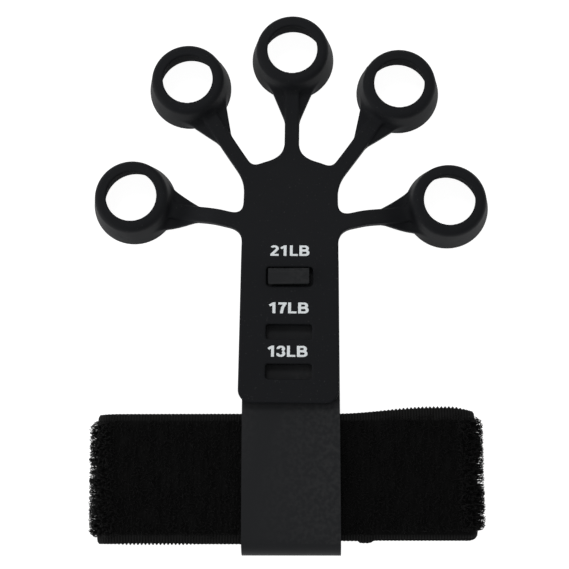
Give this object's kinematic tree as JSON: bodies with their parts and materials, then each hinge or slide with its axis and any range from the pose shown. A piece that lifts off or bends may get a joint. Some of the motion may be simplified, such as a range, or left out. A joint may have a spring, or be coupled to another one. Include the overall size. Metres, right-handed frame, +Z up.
{
  "type": "finger exerciser",
  "caption": "Silicone hand exerciser: stretchy arms with conical finger rings on a slotted palm strip, hooked to a bent steel bracket on a hook-and-loop wrist strap.",
  "frame": {"origin": "middle of the footprint, on the surface that the object lies on", "axes": "+Y from the wrist strap towards the fingers, +Z up from the surface, +X to the right seen from above"},
  "size_m": [0.1274, 0.1729, 0.0181],
  "materials": {
    "silicone": "matt",
    "black_steel": "satin black powder coat",
    "loop_webbing": "brushed loop pile",
    "hook_tape": "moulded nylon hooks",
    "thread": "twisted thread"
  },
  "bodies": {
    "bracket": {"hook_bracket": "black_steel"},
    "strap": {"strap_webbing": "loop_webbing", "hook_tab_root": "hook_tape", "seam_stitches": "thread"},
    "strap_tab": {"hook_tab": "hook_tape"},
    "finger_web": {"palm_strip": "silicone"},
    "arm_lower_left": {"finger_arm_lower_left": "silicone"},
    "ring_lower_left": {"finger_ring_lower_left": "silicone"},
    "arm_upper_left": {"finger_arm_upper_left": "silicone"},
    "ring_upper_left": {"finger_ring_upper_left": "silicone"},
    "arm_top": {"finger_arm_top": "silicone"},
    "ring_top": {"finger_ring_top": "silicone"},
    "arm_upper_right": {"finger_arm_upper_right": "silicone"},
    "ring_upper_right": {"finger_ring_upper_right": "silicone"},
    "arm_lower_right": {"finger_arm_lower_right": "silicone"},
    "ring_lower_right": {"finger_ring_lower_right": "silicone"}
  },
  "joints": [
    {"name": "strap_slide", "type": "slide", "parent": "bracket", "child": "strap", "axis": [1, 0, 0], "range_m": [-0.03, 0.03]},
    {"name": "tab_peel", "type": "hinge", "parent": "strap", "child": "strap_tab", "pos_m": [0.024, -0.0635, 0.00065], "axis": [0, -1, 0], "range_deg": [0, 150]},
    {"name": "web_lift", "type": "slide", "parent": "bracket", "child": "finger_web", "axis": [0, 0, 1], "range_m": [0, 0.015]},
    {"name": "flex_lower_left", "type": "hinge", "parent": "finger_web", "child": "arm_lower_left", "pos_m": [-0.0214, 0.01646, 0.01218], "axis": [0.2571, 0.9664, 0], "range_deg": [-30, 45], "stiffness_Nm_per_rad": 0.03},
    {"name": "stretch_lower_left", "type": "slide", "parent": "arm_lower_left", "child": "ring_lower_left", "axis": [-0.9664, 0.2571, 0], "range_m": [0, 0.03], "stiffness_N_per_m": 400},
    {"name": "flex_upper_left", "type": "hinge", "parent": "finger_web", "child": "arm_upper_left", "pos_m": [-0.017, 0.03741, 0.00588], "axis": [0.8448, 0.5351, 0], "range_deg": [-30, 45], "stiffness_Nm_per_rad": 0.03},
    {"name": "stretch_upper_left", "type": "slide", "parent": "arm_upper_left", "child": "ring_upper_left", "axis": [-0.5351, 0.8448, 0], "range_m": [0, 0.03], "stiffness_N_per_m": 400},
    {"name": "flex_top", "type": "hinge", "parent": "finger_web", "child": "arm_top", "pos_m": [0.00023, 0.0438, 0.00391], "axis": [0.9999, -0.0113, 0], "range_deg": [-30, 45], "stiffness_Nm_per_rad": 0.03},
    {"name": "stretch_top", "type": "slide", "parent": "arm_top", "child": "ring_top", "axis": [0.0113, 0.9999, 0], "range_m": [0, 0.03], "stiffness_N_per_m": 400},
    {"name": "flex_upper_right", "type": "hinge", "parent": "finger_web", "child": "arm_upper_right", "pos_m": [0.01788, 0.03664, 0.006], "axis": [0.8202, -0.5721, 0], "range_deg": [-30, 45], "stiffness_Nm_per_rad": 0.03},
    {"name": "stretch_upper_right", "type": "slide", "parent": "arm_upper_right", "child": "ring_upper_right", "axis": [0.5721, 0.8202, 0], "range_m": [0, 0.03], "stiffness_N_per_m": 400},
    {"name": "flex_lower_right", "type": "hinge", "parent": "finger_web", "child": "arm_lower_right", "pos_m": [0.0213, 0.01573, 0.01226], "axis": [0.2241, -0.9746, 0], "range_deg": [-30, 45], "stiffness_Nm_per_rad": 0.03},
    {"name": "stretch_lower_right", "type": "slide", "parent": "arm_lower_right", "child": "ring_lower_right", "axis": [0.9746, 0.2241, 0], "range_m": [0, 0.03], "stiffness_N_per_m": 400}
  ]
}
